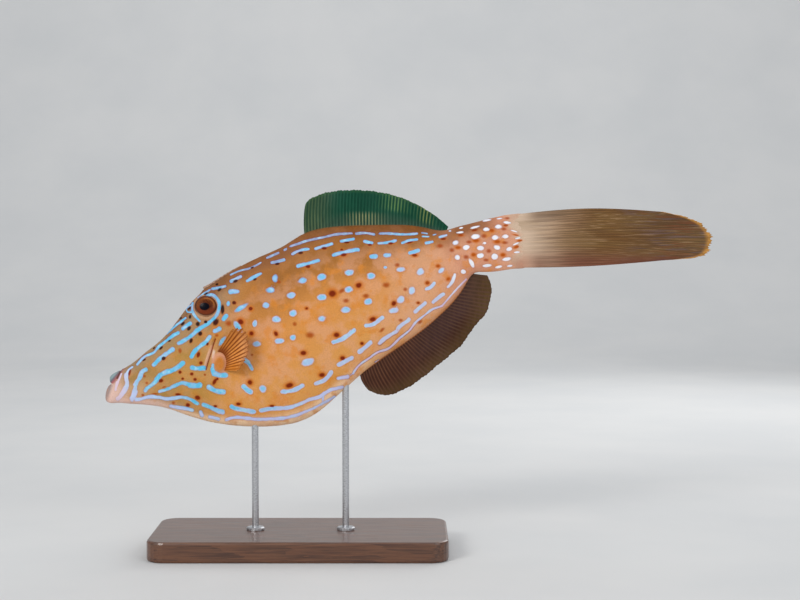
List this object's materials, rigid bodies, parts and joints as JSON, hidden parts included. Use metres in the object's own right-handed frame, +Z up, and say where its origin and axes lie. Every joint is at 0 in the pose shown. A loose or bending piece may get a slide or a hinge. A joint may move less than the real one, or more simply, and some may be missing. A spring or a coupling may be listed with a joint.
{
  "type": "scrawled filefish model on stand",
  "caption": "Still, life-size scrawled filefish, swimming head down with fins spread, held by rods on a flat wooden display base.",
  "frame": {"origin": "centre of the stand base's underside, on the floor", "axes": "the fish heads towards -X, its left flank faces -Y, +Z is up"},
  "size_m": [0.5342, 0.12, 0.3189],
  "materials": {
    "skin": "satin, painted orange skin with blue lines and dark spots, fine grained",
    "lips": "satin, pale pinkish grey",
    "dark_fins": "satin, olive to brown membrane with fine rays",
    "tail_fin": "satin, tan brown with fine long rays",
    "pectoral_fins": "satin, amber membrane with brown rays",
    "eyes": "clear gloss over an orange-brown iris and a dark pupil",
    "spine": "matt, pale",
    "stand_wood": "satin varnished dark wood",
    "stand_metal": "brushed"
  },
  "bodies": {
    "root": {"head": "skin", "trunk": "skin", "caudal_peduncle": "skin", "upper_lip": "lips", "lower_jaw": "lips", "eye_left": "eyes", "eye_right": "eyes", "dorsal_spine": "spine", "dorsal_fin": "dark_fins", "anal_fin": "dark_fins", "caudal_fin": "tail_fin", "pectoral_fin_left": "pectoral_fins", "pectoral_fin_right": "pectoral_fins", "stand_base": "stand_wood", "stand_rod_front": "stand_metal", "stand_rod_rear": "stand_metal"}
  },
  "joints": []
}
